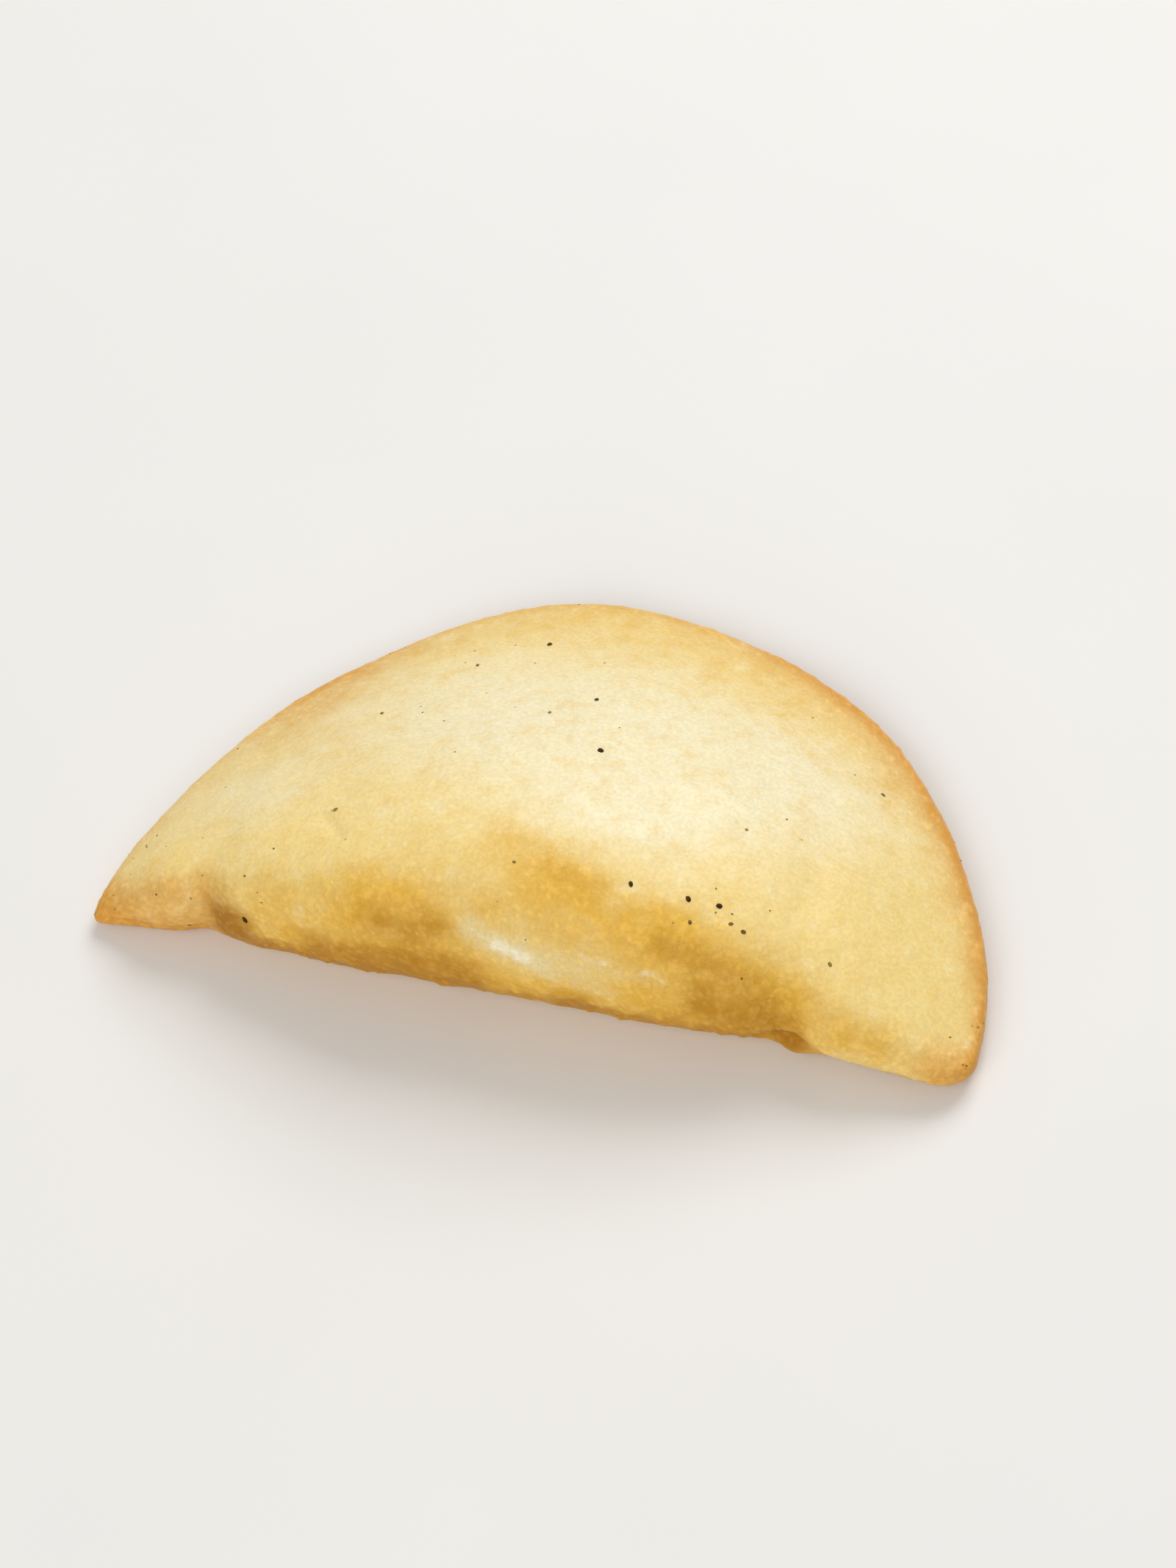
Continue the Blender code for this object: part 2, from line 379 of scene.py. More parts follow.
def bubble_relief(points, likely):
    """Small fried bubbles where the dough browned: their height, and 1 on their tops."""
    chance = random.Random(BUBBLE_SEED)
    rows, columns = likely.shape
    crowd = np.linalg.norm(np.gradient(points, axis=0), axis=-1)
    crowd = crowd * np.linalg.norm(np.roll(points, -1, axis=1) - points, axis=-1)
    likely = likely * np.minimum(crowd / np.median(crowd), 1.0)
    relief = np.zeros((rows, columns))
    tops = np.zeros((rows, columns))
    for count, radii, heights in BUBBLE_KINDS:
        placed = 0
        while placed < count:
            row = chance.randrange(BUBBLE_MARGIN, rows - BUBBLE_MARGIN)
            column = chance.randrange(columns)
            if chance.random() > likely[row, column]:
                continue
            radius = chance.uniform(*radii)
            height = chance.uniform(*heights)
            first_row = max(row - BUBBLE_WINDOW, 0)
            last_row = min(row + BUBBLE_WINDOW, rows - 1)
            window = np.ix_(
                np.arange(first_row, last_row + 1),
                np.arange(column - BUBBLE_WINDOW, column + BUBBLE_WINDOW + 1) % columns,
            )
            away = np.linalg.norm(points[window] - points[row, column], axis=-1)
            dome = bell(away, 0.0, radius)
            relief[window] += height * dome
            tops[window] = np.maximum(tops[window], dome)
            placed += 1
    return relief, tops


def lump_relief(points, from_rim):
    """Height of the lumps, swellings and creases, in millimetres."""
    lumps = 0.0
    for size, seed, height in LUMPS:
        lumps = lumps + height * noise_field(points, size, seed)
    for place, length, across, height in SWELLINGS:
        lumps = lumps + height * near(points, place, length, across)
    for start, end, width, depth in CREASES:
        lumps = lumps - depth * bell(from_trail(points, start, end, width), 0.0, width)
    return lumps * (RIM_LUMPS + (1.0 - RIM_LUMPS) * ease(from_rim, *RIM_LUMPS_EASE))


def wrinkle_relief(points, amber):
    """Height of the fine wrinkles of the browned dough."""
    stretched = points * np.array(WRINKLE_GRID)
    ridges = 1.0 - 2.0 * np.abs(noise_field(stretched, WRINKLE_SIZE, WRINKLE_SEED))
    height = WRINKLE_HEIGHT + RIGHT_WRINKLES * ease(points[..., 0], *RIGHT_WRINKLES_X)
    return height * np.clip(ridges, 0.0, 1.0) * amber


def low_edge_share(points, normals):
    """1 along the low edge of the belly, 0 away from it and at the ears."""
    edge = bell(normals[..., 2], *LOW_EDGE_SLOPE) * ease(points[..., 1], *LOW_EDGE_Y)
    return edge * ease(np.abs(points[..., 0]), *LOW_EDGE_X)


def surface():
    """All that the crust's mesh is made of: its points and the fields that colour it."""
    even = np.linspace(0.0, 1.0, SECTIONS)[:, None]
    along = even + CROWDING * (smooth_step(even) - even)
    turn = even_turns()[None, :]
    points, from_rim = pastry_form(along, turn)
    points = to_cad_box(points)
    normals = grid_normals(points)
    fields = colour_fields(points, normals, along, from_rim)

    relief = lump_relief(points, from_rim) + wrinkle_relief(points, fields["amber"])
    bubbles, tops = bubble_relief(points, fields["blister"])
    browned = ease(np.maximum(fields["amber"], fields["toast"]), *BROWNED_EASE)
    fields["bubble"] = tops * (PALE_TOPS + (1.0 - PALE_TOPS) * browned)
    relief = relief + bubbles * (1.0 + LOW_EDGE_GAIN * low_edge_share(points, normals))
    lying = ease(points[..., 2], *LYING_Z) * (normals[..., 2] < LYING_SLOPE)
    relief = relief * (1.0 - lying)
    crumbs = TEAR_ROUGHNESS * fields["tear"] * noise_field(points, TEAR_GRAIN, TEAR_SEED)
    ends = ease(np.minimum(along, 1.0 - along), *TIP_EASE)
    points = points + normals * ((relief + crumbs) * ends)[..., None]
    points[..., 2] = np.maximum(points[..., 2], 0.0)
    return points, fields


# ---------------------------------------------------------------- pale and brown places, painted shade and highlights
# Each stroke: start, end, width, share
AMBER_STROKES = (
    ((-17.5, -27.5, 18.5), (-10.5, -28.5, 19.5), 4.4, 0.85),    # left bulge
    ((-18.0, -30.5, 14.0), (-6.0, -31.0, 14.5), 3.8, 0.70),
    ((-33.0, -29.3, 10.0), (-20.0, -30.3, 13.0), 3.8, 0.50),
    ((-30.0, -27.0, 14.0), (-22.0, -28.5, 16.0), 3.4, 0.32),
    ((-38.0, -2.0, 9.0), (-27.0, -9.0, 16.5), 4.5, 0.24),       # soft streak down the left side
    ((-3.0, -19.5, 24.0), (8.0, -22.0, 23.5), 3.4, 0.50),       # top edge of the main bulge
    ((4.0, -24.0, 22.5), (20.0, -25.0, 19.5), 4.2, 0.66),
    ((-1.0, -26.5, 21.5), (14.0, -27.5, 19.5), 3.6, 0.40),
    ((19.0, -26.0, 18.5), (31.0, -26.5, 13.5), 4.6, 0.80),
    ((18.0, -29.8, 13.0), (33.0, -27.5, 9.0), 4.8, 0.85),
    # Along the lower edge this amber is browning, deepened as painted shade.
    ((-35.0, -28.5, 4.5), (-14.0, -31.0, 7.5), 4.2, 0.85),      # lower edge, from left to right
    ((-26.0, -30.0, 9.5), (-12.0, -31.0, 11.5), 3.4, 0.70),
    ((-15.0, -31.0, 9.5), (8.0, -31.0, 9.0), 4.4, 0.85),
    ((6.0, -31.0, 9.0), (30.0, -28.0, 6.0), 4.6, 0.90),
    ((35.0, -27.5, 9.5), (45.0, -28.0, 8.0), 3.0, 0.60),        # beside the right notch
)
# Deepest brown: browning on the bulges; low on the belly and the left ear's lower edge also
# painted shade
DEEP_AND_SHADE_STROKES = (
    ((-15.5, -29.2, 17.0), (-9.5, -29.8, 17.5), 3.2, 0.60),
    ((-24.0, -30.4, 10.0), (-6.0, -31.0, 12.0), 3.6, 0.80),
    ((4.0, -21.5, 23.5), (14.0, -24.0, 21.6), 2.2, 0.25),
    ((19.0, -26.0, 18.5), (29.0, -26.5, 14.5), 2.8, 0.48),
    ((24.0, -29.0, 12.0), (33.5, -27.3, 8.5), 3.6, 0.72),
    ((8.0, -31.0, 8.5), (28.0, -28.5, 6.0), 3.2, 0.85),
    ((-33.0, -29.2, 5.0), (-6.0, -31.0, 8.0), 3.2, 0.95),
    ((-22.0, -30.6, 6.5), (8.0, -31.0, 7.5), 2.6, 0.70),
    ((-55.0, -29.5, 1.6), (-40.0, -28.2, 2.0), 1.5, 0.85),
)

# Where the browned skin is missing from the belly, and painted highlights streaked over it
TORN_STROKES = (
    ((-4.0, -29.6, 18.6), (4.5, -30.6, 16.2), 2.7, 0.70),
    ((-0.5, -30.2, 17.0), (3.5, -30.6, 16.2), 1.6, 0.45),
    ((6.0, -30.7, 15.4), (11.5, -31.0, 13.8), 2.3, 0.42),
    ((8.0, -29.6, 17.2), (19.0, -29.5, 15.9), 1.8, 0.42),
)
HIGHLIGHT_STROKES = (
    ((-3.6, -29.8, 18.4), (-1.0, -30.0, 17.6), 0.90, 0.35),
    ((-0.5, -30.2, 17.1), (2.8, -30.6, 16.2), 1.45, 0.70),
    ((9.8, -29.3, 18.0), (12.8, -29.5, 17.5), 0.75, 0.40),
    ((17.2, -29.5, 16.8), (19.6, -29.5, 15.8), 0.75, 0.50),
)

# Hollows at the notches, browned and darkened with painted shade: place, size lengthwise and
# across, share
SHADED_PITS = (
    ((-36.6, -28.4, 7.4), 3.9, 4.6, 1.20),
    ((34.0, -27.8, 5.2), 3.6, 2.0, 1.05),
)

# Pale dough of the top, one patch of it a painted highlight: middle in X and Y, half length,
# half depth, share
PALE_AND_HIGHLIGHT_PATCHES = (
    (1.0, 1.0, 34.0, 17.0, 1.0),
    (26.0, 2.0, 13.0, 11.0, 0.45),
    # painted highlight on the crest of the top
    (11.0, -11.0, 9.0, 6.0, 0.60),
    (-38.0, -15.0, 10.0, 7.0, 0.45),
)
UPWARD_SLOPE = (-0.1, 0.4)      # upward part of the normal from which the pale dough shows
UNDER_SLOPE = (-0.2, -0.4)      # and below which the underside's colour does

# Browned rim. Its places along the pastry are the left, the right half and the upper left
RIM_LEFT = (0.0, 0.3)
RIM_RIGHT = (0.50, 0.18)
RIM_UPPER_LEFT = (0.265, 0.055)     # middle and width
RIM_BROWN = 0.30                # how brown the rim is everywhere, and what each place adds
RIM_BROWN_LEFT = 0.14
RIM_BROWN_RIGHT = 0.46
RIM_BROWN_UPPER_LEFT = 0.38
RIM_FADE = 6.0                  # how far in the browning reaches, and what each place adds
RIM_FADE_RIGHT = -0.8
RIM_FADE_UPPER_LEFT = 6.5
RIM_SOFT_SHARE = 0.75
RIM_LINE_SHARE = 0.40           # a narrow line right at the edge
RIM_LINE_FADE = 2.0

# Browned ears
LEFT_EAR_X = (-35.0, -6.0)
LEFT_EAR_Y = (-21.5, -6.5)
LEFT_EAR_Z = (7.0, -6.5)
LEFT_EAR_BROWN = 0.60
LEFT_EAR_LOW_BROWN = 0.55       # added low down
RIGHT_EAR_X = (46.0, 7.0)
RIGHT_EAR_Y = (-22.0, -6.0)
RIGHT_EAR_BROWN = 0.72

# Browning of the belly's front and of the band inside the back rim
FRONT_BROWN = 0.35
FRONT_FACING = (0.05, 0.7)
BACK_BROWN = 0.36
BACK_BAND = (4.0, 11.0)         # distance from the rim's edge: middle and width
BACK_Y = (-4.0, 12.0)

# Uneven edges of the strokes, and the ragged ones of the missing skin
WAVER = 0.9
WAVER_SIZE = 3.2
WAVER_SEED = 5
RAGGED = 0.45
RAGGED_SIZE = 1.3
RAGGED_SEED = 6
RAGGED_GRID = (0.5, 1.0, 1.0)   # the shreds are longer along X than the other ways
TORN_RAGGED = 1.2               # the patch's outline is more ragged than its bright streaks

# How likely a bubble is: everywhere, and what each kind of place adds
BLISTER_LEAST = 0.12
BLISTER_AMBER = 0.35
BLISTER_RIGHT_EAR = 0.6
BLISTER_TOAST = 0.3
BLISTER_FACING = 0.3
BLISTER_TORN = 0.8              # share that is lost where the skin is missing


def toast_field(points, along, from_rim):
    """How brown the rim and the ears are, then where each ear is."""
    x, y, z = points[..., 0], points[..., 1], points[..., 2]
    right = ease(along, *RIM_RIGHT)
    upper_left = bell(along, *RIM_UPPER_LEFT)
    strong = RIM_BROWN + RIM_BROWN_LEFT * ease(along, *RIM_LEFT)
    strong = strong + RIM_BROWN_RIGHT * right + RIM_BROWN_UPPER_LEFT * upper_left
    fade = RIM_FADE + RIM_FADE_RIGHT * right + RIM_FADE_UPPER_LEFT * upper_left
    soft = RIM_SOFT_SHARE * bell(from_rim, 0.0, fade)
    rim = strong * (soft + RIM_LINE_SHARE * bell(from_rim, 0.0, RIM_LINE_FADE))
    left_ear = ease(x, *LEFT_EAR_X) * ease(y, *LEFT_EAR_Y)
    left_ear = left_ear * (LEFT_EAR_BROWN + LEFT_EAR_LOW_BROWN * ease(z, *LEFT_EAR_Z))
    right_ear = ease(x, *RIGHT_EAR_X) * ease(y, *RIGHT_EAR_Y)
    toast = np.clip(rim + left_ear + RIGHT_EAR_BROWN * right_ear, 0.0, 1.0)
    return toast, left_ear, right_ear


def cover(field, share):
    """A field with a further layer laid over it."""
    return 1.0 - (1.0 - field) * (1.0 - share)


def colour_fields(points, normals, along, from_rim):
    """Fields from 0 to 1 that the crust's material turns into colour and gloss."""
    x, y = points[..., 0], points[..., 1]
    facing = np.clip(-normals[..., 1], 0.0, 1.0)
    upward = ease(normals[..., 2], *UPWARD_SLOPE)

    cream_and_highlight = 0.0
    for middle_x, middle_y, length, depth, share in PALE_AND_HIGHLIGHT_PATCHES:
        away = ((x - middle_x) / length) ** 2 + ((y - middle_y) / depth) ** 2
        cream_and_highlight = cream_and_highlight + share * np.exp(-away)
    uneven = WAVER * noise_field(points, WAVER_SIZE, WAVER_SEED)
    amber = strokes(points, AMBER_STROKES, uneven)
    amber = cover(amber, FRONT_BROWN * ease(facing, *FRONT_FACING))
    behind = bell(from_rim, *BACK_BAND) * ease(y, *BACK_Y) * upward
    amber = cover(amber, BACK_BROWN * behind)
    toast, left_ear, right_ear = toast_field(points, along, from_rim)
    ragged = RAGGED * noise_field(points * np.array(RAGGED_GRID), RAGGED_SIZE, RAGGED_SEED)
    tear = strokes(points, TORN_STROKES, TORN_RAGGED * ragged)
    pit_brown_and_shade = 0.0
    for place, length, across, share in SHADED_PITS:
        pit_brown_and_shade = np.maximum(pit_brown_and_shade, share * near(points, place, length, across))

    blister = BLISTER_LEAST + BLISTER_AMBER * amber + left_ear + BLISTER_RIGHT_EAR * right_ear
    blister = blister + BLISTER_TOAST * toast + BLISTER_FACING * facing
    return {
        "cream_and_highlight": np.clip(cream_and_highlight, 0.0, 1.0) * upward,
        "amber": amber,
        "deep_and_shade": strokes(points, DEEP_AND_SHADE_STROKES, uneven),
        "toast": toast,
        "pit_brown_and_shade": pit_brown_and_shade,
        "tear": tear,
        "painted_highlight": strokes(points, HIGHLIGHT_STROKES, ragged),
        "blister": np.clip(blister * (1.0 - BLISTER_TORN * tear), 0.0, 1.0),
        "under": ease(normals[..., 2], *UNDER_SLOPE),
    }


# ---------------------------------------------------------------- meshes
def crust_mesh(points, fields):
    """Skin the grid, store its fields on its points, and lay out its map."""
    rows, columns = points.shape[:2]
    inner = points[1:-1].reshape(-1, 3)
    coordinates = np.concatenate([points[0, :1], inner, points[-1, :1]]) * MM
    last = len(coordinates) - 1
    ring = np.arange(columns)
    following = (ring + 1) % columns
    start = 1 + np.arange(rows - 3)[:, None] * columns
    quads = np.stack([
        start + ring, start + columns + ring, start + columns + following, start + following,
    ], axis=-1).reshape(-1, 4)
    first_fan = np.stack([np.zeros(columns, int), 1 + ring, 1 + following], axis=-1)
    end_ring = 1 + (rows - 3) * columns
    end_fan = np.stack([np.full(columns, last), end_ring + following, end_ring + ring], axis=-1)
    mesh = bpy.data.meshes.new("empanada_crust")
    faces = quads.tolist() + first_fan.tolist() + end_fan.tolist()
    mesh.from_pydata(coordinates.tolist(), [], faces)
    mesh.validate()
    for name, values in fields.items():
        stored = np.concatenate([values[0, :1], values[1:-1].ravel(), values[-1, :1]])
        layer = mesh.attributes.new(name, "FLOAT", "POINT")
        layer.data.foreach_set("value", stored.astype(np.float32))
    lay_out(mesh, rows, columns)
    mesh.shade_smooth()
    return mesh


def lay_out(mesh, rows, columns):
    """Unroll the crust: from ear to ear one way, round the section the other."""
    point_of = np.empty(len(mesh.loops), int)
    mesh.loops.foreach_get("vertex_index", point_of)
    sizes = np.empty(len(mesh.polygons), int)
    mesh.polygons.foreach_get("loop_total", sizes)
    face_of = np.repeat(np.arange(len(sizes)), sizes)
    row = np.clip((point_of - 1) // columns + 1, 1, rows - 2)
    column = ((point_of - 1) % columns).astype(float)
    tip_left, tip_right = point_of == 0, point_of == point_of.max()
    row = np.where(tip_left, 0, np.where(tip_right, rows - 1, row))
    is_tip = tip_left | tip_right
    highest = np.full(len(sizes), -1.0)
    np.maximum.at(highest, face_of, np.where(is_tip, -1.0, column))
    wraps = (highest[face_of] == columns - 1) & (column == 0) & ~is_tip
    column = np.where(wraps, columns, column)
    lowest = np.full(len(sizes), np.inf)
    np.minimum.at(lowest, face_of, np.where(is_tip, np.inf, column))
    column = np.where(is_tip, lowest[face_of] + 0.5, column)
    layer = mesh.uv_layers.new(name="OFBake")
    places = np.stack([row / (rows - 1), column / columns], axis=-1)
    layer.data.foreach_set("uv", places.astype(np.float32).ravel())


def make_object(name, mesh, material):
    """A visible piece that moves with the pastry."""
    mesh.materials.append(material)
    piece = bpy.data.objects.new(name, mesh)
    bpy.context.scene.collection.objects.link(piece)
    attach(piece, "root")
    return piece


# Burnt specks: place, radius, and how dark, from 0 to 1
SPECKS = (
    ((-9.0, 17.8, 11.0), 0.36, 0.8), ((-16.5, 12.1, 13.0), 0.28, 0.5),
    ((1.0, 7.0, 17.0), 0.34, 0.7), ((-3.6, 2.7, 19.0), 0.28, 0.3),
    ((4.4, -2.9, 21.0), 0.42, 1.0), ((-25.6, 0.8, 15.5), 0.30, 0.4),
    ((-24.7, -17.6, 20.5), 0.30, 0.3), ((13.9, -21.1, 22.5), 0.34, 0.9),
    ((20.6, -20.9, 20.8), 0.36, 0.9), ((24.1, -20.3, 19.6), 0.38, 1.0),
    ((21.6, -23.5, 20.0), 0.28, 0.6), ((26.2, -22.0, 18.6), 0.28, 0.6),
    ((27.5, -22.2, 18.0), 0.30, 0.7), ((37.4, 6.9, 9.0), 0.30, 0.4),
    ((37.7, -21.6, 13.0), 0.28, 0.4), ((-0.2, -22.3, 23.8), 0.22, 0.4),
    ((-34.4, -29.2, 9.8), 0.42, 0.9), ((-43.1, -28.0, 4.0), 0.26, 0.8),
    ((24.5, -8.5, 18.8), 0.24, 0.2),
)
SPECK_SEED = 7
SPECK_SINK = 0.10               # share of its radius that a speck's middle lies under the crust
SPECK_STRETCH = (0.82, 1.25)    # range of its length against a round one's
SPECK_HEIGHT = 0.62             # against its width
SPECK_LUMPS = 0.25              # how uneven a speck is, and how many lumps its radius has
SPECK_LUMP_COUNT = 2.2

# Smaller specks, strewn over the top and closer round the clusters
STRAY_SPECKS = 64
STRAY_RADII = (0.08, 0.17)      # a range, and so is the next
STRAY_DARKNESS = (0.1, 0.6)
STRAY_SLOPE = 0.25              # they lie where the upward part of the normal is above this
STRAY_CHANCE = 0.12             # share of the places tried that are kept away from a cluster
CLUSTER_SPREAD = 5.0
CLUSTER_PLACES = (
    (-15.5, 12.5, 13.0),
    (-4.0, 3.0, 19.0),
    (22.5, -22.0, 20.0),
    (-20.0, 4.0, 16.0),
)


def add_speck(mesh, place, normal, radius, chance):
    """A rounded, uneven crumb of burnt flour, sunk into the crust."""
    stretch = chance.uniform(*SPECK_STRETCH)
    crumb = bmesh.ops.create_icosphere(mesh, subdivisions=2, radius=radius)["verts"]
    lie = Vector(normal).to_track_quat("Z", "Y").to_matrix().to_4x4()
    spin = Matrix.Rotation(chance.uniform(0.0, 2.0 * math.pi), 4, "Z")
    shape = Matrix.Diagonal((stretch, 1.0 / stretch, SPECK_HEIGHT, 1.0))
    shift = Vector((place[0],) * 3)
    for vertex in crumb:
        uneven = noise.noise(vertex.co * (SPECK_LUMP_COUNT / radius) + shift)
        vertex.co *= 1.0 + SPECK_LUMPS * uneven
        vertex.co = Matrix.Translation(place) @ lie @ spin @ shape @ vertex.co
    return crumb


def speck_places(points, normals, chance):
    """The named specks, then strays on the top, more of them round the clusters."""
    places = list(SPECKS)
    top = points[normals[..., 2] > STRAY_SLOPE]
    while len(places) < len(SPECKS) + STRAY_SPECKS:
        place = top[chance.randrange(len(top))]
        away = min(math.dist(place, centre) for centre in CLUSTER_PLACES)
        if chance.random() < STRAY_CHANCE + math.exp(-(away / CLUSTER_SPREAD) ** 2):
            radius = chance.uniform(*STRAY_RADII)
            places.append((tuple(place), radius, chance.uniform(*STRAY_DARKNESS)))
    return places


def speck_mesh(points, normals):
    """All burnt specks as one mesh."""
    chance = random.Random(SPECK_SEED)
    mesh = bmesh.new()
    char = mesh.verts.layers.float.new("char")
    for place, radius, darkness in speck_places(points, normals, chance):
        away = np.linalg.norm(points - np.array(place), axis=-1)
        row, column = np.unravel_index(np.argmin(away), away.shape)
        centre = points[row, column] - SPECK_SINK * radius * normals[row, column]
        crumb = add_speck(mesh, Vector(centre * MM), normals[row, column], radius * MM, chance)
        for vertex in crumb:
            vertex[char] = darkness
    data = bpy.data.meshes.new("burnt_specks")
    mesh.to_mesh(data)
    mesh.free()
    data.shade_smooth()
    return data


# ---------------------------------------------------------------- materials, in metres
def linear(red, green, blue):
    """Scene colour of an 8-bit display colour."""
    def channel(value):
        value = value / 255.0
        return value / 12.92 if value <= 0.04045 else ((value + 0.055) / 1.055) ** 2.4
    return (channel(red), channel(green), channel(blue), 1.0)


CREAM = linear(247, 235, 194)
GOLDEN = linear(244, 216, 140)
WARM_GOLD = linear(240, 204, 112)
AMBER = linear(230, 178, 58)
# deepened past the browning as painted shade for the low front edge
DEEP_AMBER_AND_SHADE = linear(186, 126, 2)
TOAST = linear(218, 154, 58)
# brown of the notch hollows, partly painted shade
PIT_BROWN_AND_SHADE = linear(174, 116, 0)
TORN_DOUGH = linear(232, 212, 158)
# painted highlight of the torn patch's brightest streaks
PAINTED_HIGHLIGHT = linear(250, 240, 208)
UNDERSIDE = linear(226, 172, 84)
SPECK_BLACK = linear(62, 44, 10)
SPECK_OLIVE = linear(164, 138, 70)
FLOOR_DARK = linear(232, 230, 226)
FLOOR_PALE = linear(236, 234, 230)

# Noises of the crust: size of the lumps, detail, roughness, distortion
NOISES = {
    "broad": (0.011, 3.0, 0.55, 0.0),
    "patchy": (0.0035, 4.0, 0.6, 0.0),
    "mottled": (0.0017, 2.0, 0.55, 0.6),
    "fine": (0.0011, 3.0, 0.6, 0.0),
    "grain": (0.0005, 2.0, 0.6, 0.0),
    "glossy": (0.006, 3.0, 0.6, 0.0),
    "wavy": (0.0009, 1.0, 0.5, 2.2),
}
NOISE_RANGE = (0.3, 0.7)        # range that nearly all of a noise's values lie in
SHADE_RANGE = (0.25, 0.75)      # range over which a shade goes from its low to its high end

# Layers of the crust's colour, in the order they are laid
CREAM_EDGE = (0.30, 0.0, 1.0)   # how broken the edge of the cream top is, then its range
MOTTLES = (                     # noise, its range, the most that it covers, colour
    ("patchy", 0.45, 0.75, 0.30, WARM_GOLD),
    ("patchy", 0.42, 0.25, 0.36, CREAM),
    ("mottled", 0.50, 0.72, 0.22, WARM_GOLD),
    ("mottled", 0.45, 0.28, 0.22, CREAM),
)
# The deepest layer and the pits hold painted shade as well as browning.
BROWNING_AND_SHADE = (                    # field, noise that breaks its edge and how much, range, colour
    ("under", "broad", 0.30, 0.10, 0.90, UNDERSIDE),
    ("amber", "patchy", 0.55, 0.00, 1.10, AMBER),
    ("deep_and_shade", "patchy", 0.45, 0.05, 1.05, DEEP_AMBER_AND_SHADE),
    ("toast", "patchy", 0.50, 0.00, 1.10, TOAST),
    ("pit_brown_and_shade", "patchy", 0.30, 0.05, 1.00, PIT_BROWN_AND_SHADE),
)
FINE_FLECKS = (0.50, 0.75, 0.0, 0.12)
BUBBLE_TOPS = (0.15, 0.90, 0.0, 0.07)
BUBBLE_SHADE = (0.98, 1.06)
# the second layer is a painted highlight
MISSING_SKIN_AND_HIGHLIGHTS = (                # as for the browning
    ("tear", "fine", 0.60, 0.15, 1.05, TORN_DOUGH),
    ("painted_highlight", "fine", 0.70, 0.20, 0.90, PAINTED_HIGHLIGHT),
)
GRAIN_SHADE = (0.93, 1.06)

# Surface of the crust
ROUGHNESS_RANGE = (0.52, 0.38)
TEAR_GLOSS = -0.12              # change of the roughness where the skin is missing
CRUST_SPECULAR = 0.25
SUBSURFACE_WEIGHT = 0.12
SUBSURFACE_SCALE = 0.002
SUBSURFACE_RADIUS = (1.0, 0.65, 0.3)

# Bump of the crust: pinhead blisters, then noises
PINHEAD_SIZE = 0.0010
PINHEAD_RANGE = (0.05, 0.5, 1.0, 0.0)
PINHEAD_HEIGHT = 0.5
FINE_HEIGHT = 0.6
GRAIN_HEIGHT = 0.15
WAVY_HEIGHT = 1.1
BUMP_STRENGTH = 0.5
BUMP_DISTANCE = 0.0002

# Surfaces of the specks and of the floor
SPECK_NOISE_SIZE = 0.0003
SPECK_UNEVEN = (-0.15, 0.15)    # change of a speck's darkness over its surface
SPECK_ROUGHNESS = 0.7
SPECK_SPECULAR = 0.1
FLOOR_NOISE_SIZE = 0.05
FLOOR_ROUGHNESS = 0.85

# Sockets of a Mix node that blends colours
MIX_SHARE, MIX_FIRST, MIX_SECOND, MIX_RESULT = 0, 6, 7, 2


